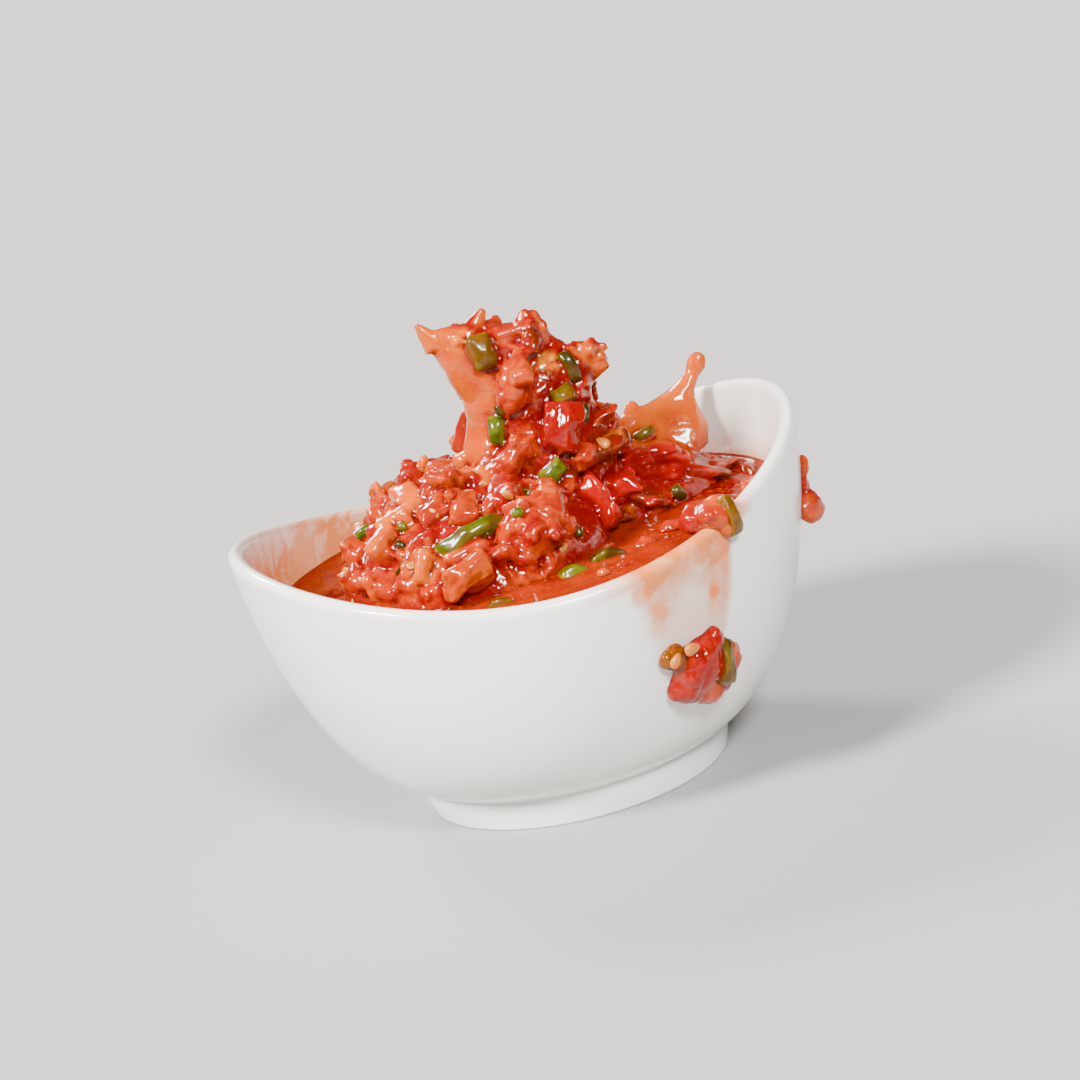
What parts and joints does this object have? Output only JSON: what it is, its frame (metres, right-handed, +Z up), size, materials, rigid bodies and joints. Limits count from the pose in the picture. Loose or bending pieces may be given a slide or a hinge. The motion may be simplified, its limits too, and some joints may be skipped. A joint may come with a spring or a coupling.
{
  "type": "bowl of tomato salsa",
  "caption": "Small white saddle-rimmed bowl of chunky tomato salsa, heaped to a torn peak, with sauce, cut peppers and splashes over its rim.",
  "frame": {"origin": "middle of the bowl's foot, on the surface that it stands on", "axes": "+Z up, +X towards the higher lobe of the rim, -Y towards the shown side"},
  "size_m": [0.1238, 0.1208, 0.1037],
  "materials": {
    "white_glaze": "gloss glazed white stoneware",
    "salsa_red": "wet cut tomato, chilli and onion",
    "sauce_red": "wet tomato juice",
    "splat_red": "wet tomato pulp"
  },
  "bodies": {
    "root": {"bowl": "white_glaze", "sauce": "sauce_red", "salsa": "salsa_red", "rim_blob": "splat_red", "front_splat": "splat_red", "side_splat": "splat_red"}
  },
  "joints": []
}
